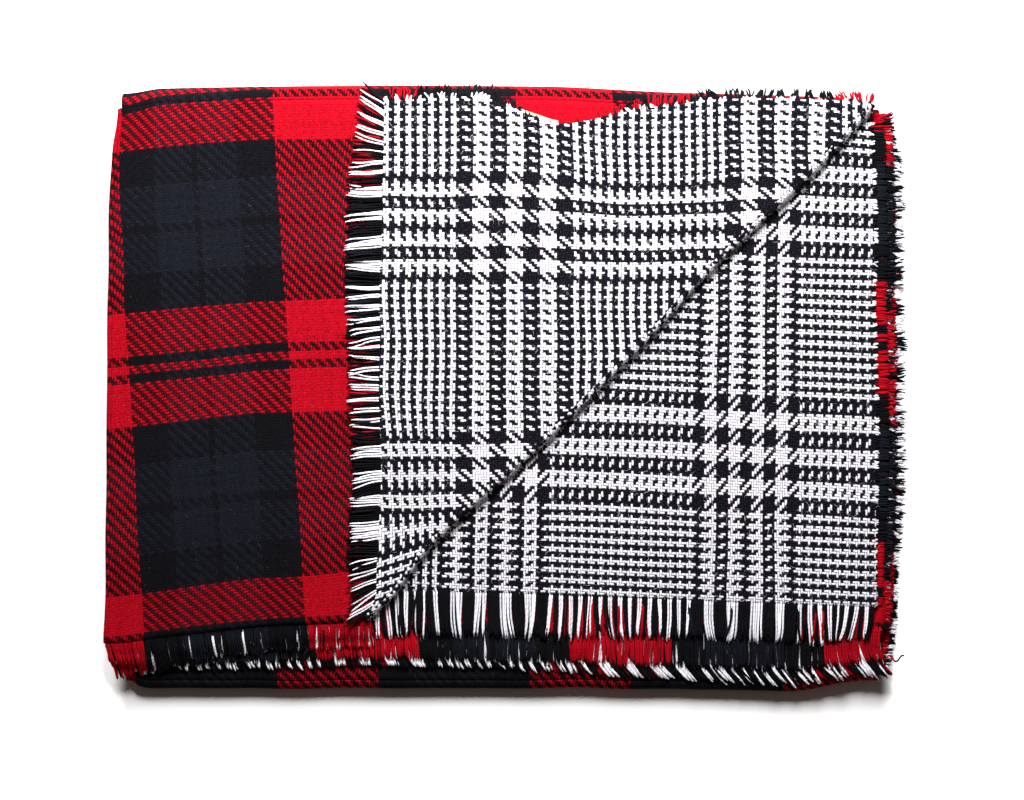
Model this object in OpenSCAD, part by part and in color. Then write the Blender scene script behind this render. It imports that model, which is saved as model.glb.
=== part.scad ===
// Folded throw blanket: one rectangle of double-woven cloth, 1.30 m by 2.00 m,
// folded in half three times into eight layers, with one corner of the top
// layer turned back. Layer 1 is on top and layer 8 lies on the surface.
// Every solid is the stretch of that cloth between two folds, a bend that
// joins two stretches, or a fringe of its own yarn ends.
// Millimetres, +Z up, origin at the middle of the footprint, on the surface.

/* [Folded blanket] */
// Width along X, from the left bends to the tips of the right selvedge
folded_w = 650; // [550:5:750]
// Depth along Y, from the bottom bends to the top bends
folded_d = 497; // [470:1:560]

/* [Cloth] */
// Thickness of the double cloth
cloth_t = 3; // [2.5:0.1:3.5]
// Air between two stacked layers
layer_gap = 0.5; // [0.4:0.1:0.8]
// Air where a solid ends beside one that moves past it
body_gap = 0.3; // [0.2:0.1:0.4]

/* [Fringes] */
// Length of the yarn ends beyond the two woven ends
end_fringe_l = 33; // [20:1:40]
// Length of the frayed yarn ends beyond a raw selvedge
side_fringe_l = 11; // [6:1:12]
// Thickness of a fringe
fringe_t = 1.6; // [1:0.1:2]

/* [Turned-back corner] */
// Where the crease leaves the woven end of layer 1, along X
crease_foot_x = -105; // [-130:1:-80]
// Where the crease runs onto the top bend, along X
crease_head_x = 300; // [280:1:303]
// Height of the flap's selvedge above the end of the flat layers, along Y
flap_over_bend = 3; // [1:0.5:4]
// Air between layer 1 and the flap on it, where the care label lies
flap_gap = 0.9; // [0.8:0.1:1.2]

/* [Care label] */
// Width of the label
label_w = 30; // [20:1:40]
// Length of the label
label_l = 36; // [25:1:50]
// Thickness of the label
label_t = 0.4; // [0.3:0.05:0.4]
// Number of stitches that hold it
stitches = 7; // [4:1:9]

/* [Hidden] */
layers = 8;
half_w = folded_w / 2;
half_d = folded_d / 2;
pitch = cloth_t + layer_gap;
stack_h = layers * pitch - layer_gap;
flap_z = stack_h + flap_gap;

// Outer radius of the bend round n stacked layers, and where it starts
function bend_r(n) = (n * pitch - layer_gap) / 2;
top_y = half_d - bend_r(8);
bottom_y = -half_d + bend_r(4);
left_x = -half_w + bend_r(2);
upper_end_y = top_y - body_gap;
bend_fn = 64;

// Underside of layer k, and the middle of the bend that joins layers a and b
function layer_z(k) = (layers - k) * pitch;
function bend_z(a, b) = (layer_z(a) + layer_z(b) + cloth_t) / 2;

// How far each layer's raw selvedge lies inside the outermost one
selvedge_in = [0, 14, 6, 9, 2, 5, 0, 4];
function raw_x(k) = half_w - side_fringe_l - selvedge_in[k - 1];

// Woven ends of layers 1 to 4: Y at the left bend, at the crease foot and at
// the selvedge. Two layers joined at the left start from one height there.
woven_end = [[-207, -188, -162], [-207, -169, -180],
             [-213, -198, -197], [-213, -215, -213]];
function end_y(k) = woven_end[k - 1];

// The crease runs up to the right from its foot to its head
crease_foot = [crease_foot_x, end_y(1)[1]];
crease_head = [crease_head_x, top_y];
crease_run = crease_head - crease_foot;
crease_a = atan2(crease_run.y, crease_run.x);
crease_l = norm(crease_run);
crease_r = (flap_z + cloth_t - layer_z(1)) / 2;
crease_z = layer_z(1) + crease_r;
flap_edge_y = top_y + flap_over_bend;
flap_corner = [crease_foot_x + 8, flap_edge_y];
flap_fringe_l = 30;
flap_side_fringe_l = 7;
// The flap's end fringe starts this far up from the crease, clear of its bend
flap_fringe_start = 6;
label_x = 29;
label_y = 195;
far = 2 * folded_w;

TARTAN = "crimson";
CHECK = "gainsboro";
YARN = "dimgray";

// Half of a tube, from the origin along +X, bulging towards +Y
module half_tube(outer, inner, length) {
    rotate([90, 0, 90]) linear_extrude(length) difference() {
        circle(r = outer, $fn = bend_fn);
        circle(r = inner, $fn = bend_fn);
        translate([-far, -far / 2]) square(far);
    }
}

// A bend of one thickness of cloth round n layers, the bend's own two included
module bend(n, length) {
    half_tube(bend_r(n), bend_r(n) - cloth_t, length);
}

// Everything on the lower right of the crease, moved inset to the upper left
module beyond_crease(inset) {
    translate(crease_foot) rotate(crease_a) translate([-far, inset - far])
        square([2 * far, far]);
}

// Outline of a lower layer, which ends in bends at the top and the bottom
module lower_outline(k) {
    polygon([[left_x, bottom_y], [raw_x(k), bottom_y],
             [raw_x(k), top_y], [left_x, top_y]]);
}

// Outline of an upper layer, from its woven end up to the top bend
module upper_outline(k) {
    polygon([[left_x, end_y(k)[0]], [crease_foot_x, end_y(k)[1]],
             [raw_x(k), end_y(k)[2]], [raw_x(k), upper_end_y],
             [left_x, upper_end_y]]);
}

module flat_layer(k) {
    color(k % 2 == 1 ? TARTAN : CHECK) translate([0, 0, layer_z(k)])
        linear_extrude(cloth_t) difference() {
            if (k > layers / 2) lower_outline(k); else upper_outline(k);
            if (k == 1) beyond_crease(crease_r);
        }
}

// Bend down the left side that joins layers k and k + 1
module left_fold(k) {
    bottom = k > layers / 2 ? bottom_y : end_y(k)[0];
    top = k > layers / 2 ? top_y : upper_end_y;
    color(TARTAN) translate([left_x, bottom, bend_z(k, k + 1)])
        rotate([0, 0, 90]) bend(2, top - bottom);
}

// Bend along the bottom that joins layers k and 13 - k of the lower half
module bottom_fold(k) {
    right = min(raw_x(k), raw_x(13 - k));
    color(TARTAN) translate([right, bottom_y, bend_z(5, 8)])
        rotate([0, 0, 180]) bend(14 - 2 * k, right - left_x);
}

// Bend along the top that joins layer k to layer 9 - k, one inside another
module top_fold(k) {
    right = min(raw_x(k), raw_x(9 - k));
    color(TARTAN) translate([left_x, top_y, bend_z(1, 8)])
        bend(10 - 2 * k, right - left_x);
}

// Thin slab in the middle of the layer whose underside is at z
module fringe_slab(z) {
    color(YARN) translate([0, 0, z + (cloth_t - fringe_t) / 2])
        linear_extrude(fringe_t) children();
}

// Warp ends that hang beyond the woven end of an upper layer
module end_fringe(k) {
    left_stop = left_x;
    right_stop = k == 1 ? crease_foot_x : raw_x(k);
    right_end = k == 1 ? end_y(k)[1] : end_y(k)[2];
    fringe_slab(layer_z(k)) polygon([
        [left_stop, end_y(k)[0] - end_fringe_l],
        [crease_foot_x, end_y(k)[1] - end_fringe_l],
        [right_stop, right_end - end_fringe_l],
        [right_stop, right_end], [crease_foot_x, end_y(k)[1]],
        [left_stop, end_y(k)[0]]]);
}

// Weft ends that stick out of the raw selvedge on the right
module side_fringe(k) {
    bottom = k > layers / 2 ? bottom_y : end_y(k)[2];
    top = k > layers / 2 ? top_y : upper_end_y;
    fringe_slab(layer_z(k)) translate([raw_x(k), bottom])
        square([side_fringe_l, top - bottom]);
}

// Corner of layer 1, folded up and back over it
module corner_flap() {
    color(CHECK) translate([0, 0, flap_z]) linear_extrude(cloth_t)
        difference() {
            polygon([crease_foot, crease_head,
                     [crease_head_x + flap_over_bend, flap_edge_y], flap_corner]);
            beyond_crease(crease_r + body_gap);
        }
}

// Bend between layer 1 and the flap, along the diagonal crease
module crease_roll() {
    overrun = 2 * crease_r;
    color(CHECK) intersection() {
        translate([crease_foot.x, crease_foot.y, crease_z])
            rotate([0, 0, crease_a + 180])
            translate([-crease_l - overrun, -crease_r, 0])
            half_tube(crease_r, crease_r - cloth_t, crease_l + overrun);
        translate([-far / 2, upper_end_y - far, 0]) cube(far);
    }
}

// Warp ends along the flap's left side
module flap_end_fringe() {
    up = flap_corner - crease_foot;
    start = crease_foot + flap_fringe_start * up / norm(up);
    fringe_slab(flap_z) polygon([
        start, flap_corner, flap_corner - [flap_fringe_l, 0],
        start - [flap_fringe_l, 0]]);
}

// Frayed weft ends along the flap's selvedge
module flap_side_fringe() {
    fringe_slab(flap_z) translate(flap_corner)
        square([crease_head_x - flap_corner.x, flap_side_fringe_l]);
}

// Label sewn to the underside of the flap, at its selvedge
module care_label() {
    color("wheat") translate([label_x - label_w / 2, label_y, flap_z - label_t])
        cube([label_w, label_l, label_t]);
}

// Row of stitches through the label's sewn end
module label_stitching() {
    stitch_l = 2.4;
    stitch_w = 0.6;
    stitch_h = 0.2;
    margin = 4;
    step = (label_w - 2 * margin) / (stitches - 1);
    color("white") for (i = [0 : stitches - 1])
        translate([label_x - label_w / 2 + margin + i * step - stitch_l / 2,
                   label_y + label_l - margin, flap_z - label_t - stitch_h])
            cube([stitch_l, stitch_w, stitch_h]);
}

for (k = [1 : layers])
    flat_layer(k);
for (k = [1 : 2 : layers - 1])
    left_fold(k);
bottom_fold(5);  // bottom_fold_5_8
bottom_fold(6);  // bottom_fold_6_7
for (k = [1 : layers / 2])
    top_fold(k);
for (k = [1 : layers / 2])
    end_fringe(k);
for (k = [2 : layers])
    side_fringe(k);
corner_flap();
crease_roll();
flap_end_fringe();
flap_side_fringe();
care_label();
label_stitching();
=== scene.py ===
"""Looks of the folded throw blanket.

A double-woven throw folded into eight layers, its lower-right corner turned
back. Each stretch of cloth is a closed sheet with one tartan face and one
glen-check face. The weave is drawn by nodes from a UV map that counts yarns.
Lengths here are millimetres until a mesh is made, then metres.
"""

import math
from functools import partialmethod

import bpy
import numpy as np
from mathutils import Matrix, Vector


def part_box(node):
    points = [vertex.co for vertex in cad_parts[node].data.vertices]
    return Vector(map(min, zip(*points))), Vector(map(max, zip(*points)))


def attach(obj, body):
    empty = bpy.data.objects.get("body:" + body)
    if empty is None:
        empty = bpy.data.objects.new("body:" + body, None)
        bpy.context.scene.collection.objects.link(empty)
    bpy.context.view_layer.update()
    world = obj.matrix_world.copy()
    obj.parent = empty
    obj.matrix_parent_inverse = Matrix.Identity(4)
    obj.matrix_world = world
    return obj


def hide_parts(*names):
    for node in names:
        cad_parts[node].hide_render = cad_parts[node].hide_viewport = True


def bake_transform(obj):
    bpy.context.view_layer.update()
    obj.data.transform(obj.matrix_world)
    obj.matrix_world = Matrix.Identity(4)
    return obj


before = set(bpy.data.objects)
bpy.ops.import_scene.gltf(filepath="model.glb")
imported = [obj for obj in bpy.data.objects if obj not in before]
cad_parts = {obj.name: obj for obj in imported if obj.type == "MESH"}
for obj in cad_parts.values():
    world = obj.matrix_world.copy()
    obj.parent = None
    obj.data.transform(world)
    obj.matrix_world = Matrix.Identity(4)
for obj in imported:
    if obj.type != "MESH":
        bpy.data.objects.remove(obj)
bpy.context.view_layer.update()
MM = 0.001


def box_mm(node):
    return np.array([list(c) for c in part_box(node)], float) / MM


# ---------------------------------------------------------------- the frame
LAYERS = range(1, 9)
BOX = {k: box_mm(f"layer_{k}") for k in LAYERS}
CLOTH_T = BOX[8][1][2] - BOX[8][0][2]
LEFT_X = BOX[8][0][0]
BOTTOM_Y, TOP_Y = BOX[8][0][1], BOX[8][1][1]
STACK_TOP = BOX[1][1][2]
MID_Z = {k: (BOX[k][0][2] + BOX[k][1][2]) / 2 for k in LAYERS}
RAW_X = {k: BOX[k][1][0] for k in LAYERS}
FLAP_BOX = box_mm("corner_flap")
FLAP_Z = (FLAP_BOX[0][2] + FLAP_BOX[1][2]) / 2
LABEL_BOX = box_mm("care_label")
STITCH_BOX = box_mm("label_stitching")
FLAP_FRINGE_L = 30.0

# The crease, from its foot on the woven end to its head on the top bend
FOOT = np.array([-105.0, -188.0])
HEAD = np.array([300.0, TOP_Y])
CREASE_L = float(np.linalg.norm(HEAD - FOOT))
ALONG = (HEAD - FOOT) / CREASE_L
ACROSS = np.array([-ALONG[1], ALONG[0]])
CREASE_R = (FLAP_BOX[1][2] - BOX[1][0][2]) / 2
CREASE_Z = BOX[1][0][2] + CREASE_R
FLAP_TOP_Y = FLAP_BOX[1][1]
FLAP_CORNER = np.array([FOOT[0] + 8.0, FLAP_TOP_Y])  # the folded corner of the cloth
# Woven ends of the upper layers, as X and Y of points along each
WOVEN_END = {
    1: ((LEFT_X, -281, -200, -142, FOOT[0], 310), (-208.5, -202, -192, -191.5, -189.5, -162)),
    2: ((LEFT_X, FOOT[0], 34, 161, 310), (-205, -163.5, -167, -172.3, -177.5)),
    3: ((LEFT_X, FOOT[0], 310), (-213, -198, -197)),
    4: ((LEFT_X, FOOT[0], 310), (-213, -215, -213)),
}


def half_of(k):
    """The body that carries layer k."""
    return "upper_half" if k < 5 else "lower_half"


def place(obj, body, node):
    """The piece moves with a body and stands for a CAD node."""
    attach(obj, body)
    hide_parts(node)
    return obj


# ---------------------------------------------------------------- the weave
WARP_PITCH, WEFT_PITCH = 2.05, 2.28
RED, NAVY, BLACK, WHITE = "red", "navy", "black", "white"
COLOURS = {
    RED: (0.38, 0.0028, 0.0105),
    NAVY: (0.0082, 0.0095, 0.0140),
    BLACK: (0.0052, 0.0052, 0.0068),
    WHITE: (0.93, 0.91, 0.985),
}
TARTAN_WARP = [(RED, 40), (BLACK, 14), (NAVY, 15), (BLACK, 2), (NAVY, 15), (BLACK, 14)]
TARTAN_WEFT = [(RED, 15), (BLACK, 3), (RED, 3), (BLACK, 3), (RED, 15), (BLACK, 13),
               (NAVY, 14), (BLACK, 3), (NAVY, 14), (BLACK, 13)]
WARP, WEFT = 0, 1
TARTAN_BANDS = (TARTAN_WARP, TARTAN_WEFT)
# The check's repeat: yarns in all, yarns in the wide bars, and yarns in one wide bar
CHECK_WARP_N, CHECK_WARP_WIDE = 103, 45
CHECK_WEFT_N, CHECK_WEFT_WIDE = 96, 42
CHECK_BARS = ((CHECK_WARP_N, CHECK_WARP_WIDE, 5), (CHECK_WEFT_N, CHECK_WEFT_WIDE, 6))
CHECK_2_REPEAT = 209.9  # mm; layer 2's repeat lies a little closer than the flap's
FOLD_ARC = math.pi * 1.75


def smooth(t):
    t = np.clip(t, 0, 1)
    return t * t * (3 - 2 * t)


def hump(x, centre, low, high):
    """1 at centre, falling to 0 at low below it and high above it."""
    side = np.where(x < centre, (centre - x) / low, (x - centre) / high)
    return smooth(1 - side)


def soft_line(x, xs, ys, reach=24, n=5):
    """The line through the points xs, ys, rounded over reach mm to each side."""
    return sum(np.interp(x + d, xs, ys) for d in np.linspace(-reach, reach, n)) / n


def unit(v):
    return v / (np.linalg.norm(v, axis=-1, keepdims=True) + 1e-12)


def low_shoulder(x):
    """How much lower the top bends lie right of the middle, under the flap's edge."""
    return 3.3 * smooth((x - 30) / 120)


class Wave:
    """A smooth random field of x and y, about -1 to 1, with features of size mm."""

    def __init__(self, seed, size, terms=7):
        rng = np.random.default_rng(seed)
        angle = rng.uniform(0, 2 * math.pi, terms)
        freq = 2 * math.pi / (size * rng.uniform(0.7, 1.6, terms))
        self.kx, self.ky = freq * np.cos(angle), freq * np.sin(angle)
        self.phase = rng.uniform(0, 2 * math.pi, terms)
        self.gain = 1.4 / terms**0.5

    def __call__(self, x, y):
        x, y = np.asarray(x, float)[..., None], np.asarray(y, float)[..., None]
        return self.gain * np.sin(self.kx * x + self.ky * y + self.phase).mean(-1) * 2


# -------------------------------------------------- how the soft cloth settles
RIPPLE, LOFT = Wave(3, 150), Wave(8, 60)
EDGE = {k: Wave(20 + k, 90) for k in range(10)}
PEAK_X = -85.0  # the top edge is highest here
RIGHT_X = RAW_X[1] + 6
# Rounded corners: X, Y, how far each reaches, and how far it moves along X and Y
CORNERS = ((LEFT_X, TOP_Y, 42, 4.0, -4.0), (LEFT_X, BOTTOM_Y, 42, 4.0, 4.0),
           (RIGHT_X, BOTTOM_Y, 70, -7.0, 9.0), (RIGHT_X, TOP_Y, 30, -2.0, -2.0))


def round_corners(p, x, y, up):
    for corner_x, corner_y, reach, dx, dy in CORNERS:
        near = smooth(1 - np.hypot(x - corner_x, y - corner_y) / reach)
        p[..., 0] += dx * near
        p[..., 1] += dy * near
    below = 1 - smooth((up - 0.4) / 0.15)  # only the lower layers, under the fringes
    near = smooth(1 - np.hypot(x - LEFT_X, y - BOTTOM_Y) / 29) * below
    p[..., 0] += 11.0 * near
    p[..., 1] += 3.0 * near


def settle(p, key=0):
    """Moves ideal points to where the soft cloth lies. key picks an edge's own waver."""
    p = np.array(p, float)
    x, y, z = p[..., 0].copy(), p[..., 1].copy(), p[..., 2].copy()
    up = z / STACK_TOP
    left = smooth(1 - (x - LEFT_X) / 70)
    right = smooth(1 - (RAW_X[1] - x) / 60)
    rise = (y - BOTTOM_Y) / (TOP_Y - BOTTOM_Y)
    waver = EDGE[key]
    # the sides draw in, more so near the top, and waver
    draw_in = 3.4 + 4.0 * smooth((rise - 0.76) / 0.27) - 2.0 * smooth(1 - rise * 5)
    p[..., 0] += left * (draw_in + 0.9 * waver(y, 0 * y)) + 1.2 * right * waver(0 * y, y)
    # the top edge falls away to both sides of its peak
    arch = np.where(x < PEAK_X, 3.5 * ((x - PEAK_X) / 237) ** 2, 7.0 * ((x - PEAK_X) / 375) ** 2)
    p[..., 1] -= smooth((y - TOP_Y + 140) / 140) * (arch + low_shoulder(x))
    round_corners(p, x, y, up)
    # the bottom edge rises a little, more so at the left
    low_edge = smooth(1 - (y - BOTTOM_Y) / 50)
    p[..., 1] += low_edge * (1.2 * EDGE[9](x, 0 * x) + 4.8 - 2.5 * smooth((x - 60) / 200))
    # the stack is pressed flatter towards the bottom, and ripples except at the hinge
    press = 0.08 * smooth((-120 - y) / 100) + 0.12 * smooth((-222 - y) / 26)
    press *= 1 - 0.6 * smooth((x - 40) / 240)
    calm = 1 - smooth((y - TOP_Y + 30) / 30)
    sink = 1.6 * smooth(1 - (x - LEFT_X) / 22)
    p[..., 2] += calm * up * (1.1 * RIPPLE(x, y) + 0.5 * LOFT(x, y) - sink)
    p[..., 2] -= press * z
    return p


# How far the crease wanders to the upper left of its straight line, along it
CREASE_AT = (-20, 5, 40, 88, 150, 200, 264, 322, 386, 435, 499, 600)
CREASE_OUT = (2, 4, 9.5, 9, 3.5, -0.4, -1.8, -3.0, 0.5, -2.0, -3.0, 0)


def smooth_bow(along):
    return soft_line(along, CREASE_AT, CREASE_OUT)


def bow(p):
    """Bends the cloth beside the crease into the crease's slight S."""
    p = np.array(p, float)
    rel = p[..., :2] - FOOT
    along, across = rel @ ALONG, rel @ ACROSS
    shift = smooth_bow(along) * smooth(1 - np.abs(across - CREASE_R) / 90)
    p[..., :2] += shift[..., None] * ACROSS
    return p


# The flap's selvedge dips into a V over the care label: X, and Y from its design line
SELVEDGE_X = (-95, -74, -49, -18, -8, 15, 43, 50, 66, 79, 112, 145, 161, 194, 243, 284)
SELVEDGE_DY = (-5.8, -5.4, -1.7, -1.6, -5, -15, -21.2, -20, -16.9, -13, -3.5, -1.9, 0, -1, 0, 1)


def cut(p):
    """The flap's selvedge: where it lies, and the notch over the care label."""
    p = np.array(p, float)
    x, y = p[..., 0].copy(), p[..., 1].copy()
    edge = smooth((y - 150) / 88)
    line = soft_line(x, SELVEDGE_X, SELVEDGE_DY, 4, 3)
    p[..., 1] += edge * (line + low_shoulder(x) - 1.2 * EDGE[3](x * 1.5, 0 * x))
    p[..., 2] -= 1.2 * hump(x, 46, 60, 90) * edge
    return p


def sag(p):
    """The flap's rows hang a little between the label and the crease."""
    p = np.array(p, float)
    x, y = p[..., 0].copy(), p[..., 1].copy()
    p[..., 1] -= 7 * hump(x, 100, 90, 110) * smooth((y - 20) / 200)
    left = smooth(1 - (x - FOOT[0]) / 60)
    p[..., 0] += 2.0 * hump(y, 120, 320, 140) * EDGE[4](0 * y, y) * left
    p[..., 0] += 6.5 * smooth((y + 187) / 24) * smooth((20 - y) / 150) * left
    return p


def dip(p):
    return sag(cut(p))


# ------------------------------------------------- which yarn lies at x and y
def tartan_1(x, y):
    near, far = np.minimum(x + 199.7, 0), np.maximum(x + 199.7, 0)
    from_block = x + 184.9 - 0.0697 * (178 - y)
    u = np.where(from_block < 0, from_block / 2.215, from_block / 1.985)
    pitch = 2.33 - 0.0004 * near
    level = 69.7 + 0.09 * near + 0.035 * far * smooth((225 - y) / 150)
    v = (level - y) / pitch
    block_end = level - 96 * pitch
    to_end = (block_end - y) / np.maximum(block_end - woven_end(1, x), 20)
    return u, np.where(y > block_end, v, 96 + 17.4 * to_end)


def check_flap(x, y):
    tilt = 0.30 * np.maximum(-60 - x, 0) * smooth((-90 - y) / 60)
    return (y + tilt + 127.9) / WARP_PITCH - CHECK_WARP_N, (x + 39.0) / (WEFT_PITCH - 0.01)


def check_2(x, y):
    from_bars = x - 151.2 - 0.0148 * (y + 146)
    u = np.where(from_bars < 5, from_bars / 1.99, 2.5 + (from_bars - 5) / 1.917)
    down = 202.1 - 0.045 * (x - 243) - y
    turn = np.floor(down / CHECK_2_REPEAT)
    at = down - turn * CHECK_2_REPEAT
    wide = CHECK_WEFT_WIDE * WEFT_PITCH
    pairs = (at - wide) / (CHECK_2_REPEAT - wide) * (CHECK_WEFT_N - CHECK_WEFT_WIDE)
    return u, turn * CHECK_WEFT_N + np.where(at < wide, at / WEFT_PITCH, CHECK_WEFT_WIDE + pairs)


def tartan_2(x, y):
    low, high = np.minimum(y + 126.3, 0) / 2.4, np.maximum(y + 5.7, 0) / 2.374
    return (116 - x) / WARP_PITCH, low + (np.clip(y, -126.3, -5.7) + 5.7) / 2.116 + high


def plain(x0, y0, warp_pitch=WARP_PITCH, weft_pitch=WEFT_PITCH):
    """Evenly spaced yarns that start at x0 and y0; a negative pitch counts the other way."""
    return lambda x, y: ((x - x0) / warp_pitch, (y - y0) / weft_pitch)
def over_left(fn):
    """The same cloth followed round a left bend, into the layer it joins."""
    return lambda x, y: fn(2 * LEFT_X - FOLD_ARC - x, y)


def mirror(x, y):
    rel = np.stack([x - FOOT[0], y - FOOT[1]], -1)
    across = rel @ ACROSS
    return x - 2 * across * ACROSS[0], y - 2 * across * ACROSS[1]


def over_crease(fn):
    return lambda x, y: fn(*mirror(x, y))


TARTAN_AT = {1: tartan_1, 2: tartan_2, 3: plain(134.9, -27.6, -WARP_PITCH, 2.277),
             5: plain(-184, -134, weft_pitch=-WEFT_PITCH), 7: plain(110, -150, -WARP_PITCH)}
TARTAN_AT.update({k + 1: over_left(TARTAN_AT[k]) for k in (3, 5, 7)})
TARTAN_AT["flap"] = over_crease(tartan_1)
CHECK_AT = {k: plain(-150, 100, weft_pitch=-WEFT_PITCH) for k in LAYERS}
CHECK_AT.update({1: over_crease(check_flap), 2: check_2, "flap": check_flap})
GRAIN = Wave(11, 70)
GRAIN_2 = Wave(12, 95)


def yarn_uv(fn, p):
    """Yarn counts at ideal points p, with the small wander of a soft weave."""
    x, y = p[..., 0], p[..., 1]
    u, v = fn(x, y)
    return np.stack([u + 0.45 * GRAIN(x, y), v + 0.45 * GRAIN_2(x, y)], -1)


# ------------------------------------------------------------------ meshes
def make_object(name, verts, faces, uv, mats, face_mat=None, colour=None):
    """One mesh object from arrays in millimetres. faces holds one array for each number
    of corners, and uv has one row per face corner."""
    mesh = bpy.data.meshes.new(name)
    counts = np.concatenate([np.full(len(f), f.shape[1], np.int32) for f in faces])
    corners = np.concatenate([f.ravel().astype(np.int32) for f in faces])
    verts = np.array(verts, float)
    verts[:, 2] = np.maximum(verts[:, 2], 0.05)  # clear of the floor
    mesh.vertices.add(len(verts))
    mesh.vertices.foreach_set("co", (verts * MM).astype(np.float32).ravel())
    mesh.loops.add(len(corners))
    mesh.loops.foreach_set("vertex_index", corners)
    mesh.polygons.add(len(counts))
    starts = np.concatenate([[0], np.cumsum(counts)[:-1]]).astype(np.int32)
    mesh.polygons.foreach_set("loop_start", starts)
    mesh.polygons.foreach_set("loop_total", counts)
    mesh.polygons.foreach_set("use_smooth", np.ones(len(counts), bool))
    for m in mats:
        mesh.materials.append(m)
    if face_mat is not None:
        mesh.polygons.foreach_set("material_index", np.asarray(face_mat, np.int32))
    layer = mesh.uv_layers.new(name="yarn")
    layer.data.foreach_set("uv", np.asarray(uv, np.float32).ravel())
    if colour is not None:
        attr = mesh.color_attributes.new("yarn_colour", "FLOAT_COLOR", "POINT")
        rgba = np.concatenate([colour, np.ones((len(colour), 1))], 1)
        attr.data.foreach_set("color", rgba.astype(np.float32).ravel())
    mesh.update(calc_edges=True)
    mesh.validate()
    obj = bpy.data.objects.new(name, mesh)
    bpy.context.scene.collection.objects.link(obj)
    return obj


def past_edge(uv, ring, inner):
    """Yarn counts on the rim, a little past the sheet's edge."""
    step = uv[ring] - uv[inner]
    return uv[ring] + 0.4 * step / (np.abs(step).max() + 1e-9)


def sheet_mesh(name, mid, uv_top, uv_under, mats, thick=CLOTH_T):
    """A closed sheet round the grid mid, top on the side that faces ds x dt."""
    n, m = mid.shape[:2]
    half = unit(np.cross(np.gradient(mid, axis=0), np.gradient(mid, axis=1))) * thick / 2
    index = np.arange(n * m).reshape(n, m)
    ring = np.concatenate([index[:, 0], index[-1, 1:], index[-2::-1, -1], index[0, -2:0:-1]])
    inner = np.concatenate([index[:, 1], index[-2, 1:], index[-2::-1, -2], index[1, -2:0:-1]])
    flat_mid = mid.reshape(-1, 3)
    rim = flat_mid[ring] + unit(flat_mid[ring] - flat_mid[inner]) * thick * 0.28
    verts = np.concatenate([(mid + half).reshape(-1, 3), (mid - half).reshape(-1, 3), rim])
    a, b, c, d = index[:-1, :-1], index[1:, :-1], index[1:, 1:], index[:-1, 1:]
    quads = np.stack([a, b, c, d], -1).reshape(-1, 4)
    back = np.stack([a, d, c, b], -1).reshape(-1, 4)
    r = np.arange(len(ring))
    r2 = np.roll(r, -1)
    base = 2 * n * m
    upper = np.stack([ring[r2], ring[r], base + r, base + r2], 1)
    lower = np.stack([base + r2, base + r, n * m + ring[r], n * m + ring[r2]], 1)
    faces = np.concatenate([quads, back + n * m, upper, lower])
    ut, uu = uv_top.reshape(-1, 2), uv_under.reshape(-1, 2)
    rim_t, rim_u = past_edge(ut, ring, inner), past_edge(uu, ring, inner)
    uv = np.concatenate([
        ut[quads].reshape(-1, 2), uu[back].reshape(-1, 2),
        np.stack([ut[ring[r2]], ut[ring[r]], rim_t[r], rim_t[r2]], 1).reshape(-1, 2),
        np.stack([rim_u[r2], rim_u[r], uu[ring[r]], uu[ring[r2]]], 1).reshape(-1, 2)])
    face_mat = np.repeat([0, 1, 0, 1], [len(quads), len(back), len(upper), len(lower)])
    return make_object(name, verts, (faces,), uv, mats, face_mat)


def tube_rings(paths, radius, sides):
    """Points round each path, and the middles of its two end caps."""
    tangent = unit(np.gradient(paths, axis=1))
    ref = np.zeros_like(tangent)
    ref[..., 2] = 1
    ref[np.abs(tangent[..., 2]).max(1) > 0.93] = (0.6, 0.8, 0)  # steep paths
    side = unit(np.cross(tangent, ref))
    up = np.cross(side, tangent)
    angle = np.arange(sides) * 2 * math.pi / sides
    around = (np.cos(angle)[:, None] * side[:, :, None, :]
              + np.sin(angle)[:, None] * up[:, :, None, :])
    ring = paths[:, :, None, :] + around * radius[:, :, None, None]
    caps = np.stack([paths[:, 0] - tangent[:, 0] * radius[:, :1] * 0.5,
                     paths[:, -1] + tangent[:, -1] * radius[:, -1:] * 0.8], 1)
    return np.concatenate([ring.reshape(len(paths), -1, 3), caps], 1).reshape(-1, 3)


def tube_mesh(name, paths, radius, colour, mat, sides=5):
    """Many tapered yarns. paths is (n, rings, 3), radius (n, rings), colour (n, 3)."""
    n, rings = paths.shape[:2]
    per = rings * sides + 2
    k, s = np.meshgrid(np.arange(rings - 1), np.arange(sides), indexing="ij")
    s2 = (s + 1) % sides
    quad = np.stack([k * sides + s, k * sides + s2, (k + 1) * sides + s2, (k + 1) * sides + s], -1)
    e = np.arange(sides)
    e2 = (e + 1) % sides
    last = (rings - 1) * sides
    tri_a = np.stack([e2, e, 0 * e + rings * sides], 1)
    tri_b = np.stack([last + e, last + e2, 0 * e + rings * sides + 1], 1)
    shift = (np.arange(n) * per)[:, None, None]
    quads = (quad.reshape(-1, 4)[None] + shift).reshape(-1, 4)
    tris = (np.concatenate([tri_a, tri_b])[None] + shift).reshape(-1, 3)
    uq = np.stack([s, s + 1, s + 1, s], -1).reshape(-1, 4) / sides
    vq = np.stack([k, k, k + 1, k + 1], -1).reshape(-1, 4) * 1.0
    uv = np.tile(np.stack([uq, vq], -1).reshape(1, -1, 2), (n, 1, 1)).reshape(-1, 2)
    uv = np.concatenate([uv, np.zeros((len(tris) * 3, 2))])
    return make_object(name, tube_rings(paths, radius, sides), (quads, tris), uv, [mat], None,
                       np.repeat(colour, per, axis=0))


# --------------------------------------------------------------- materials
def feed(tree, slot, value):
    """Links a value to a node's input, or sets the input to a plain number or colour."""
    value = value.socket if isinstance(value, Val) else value
    if isinstance(value, bpy.types.NodeSocket):
        tree.links.new(value, slot)
    else:
        slot.default_value = value


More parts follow.
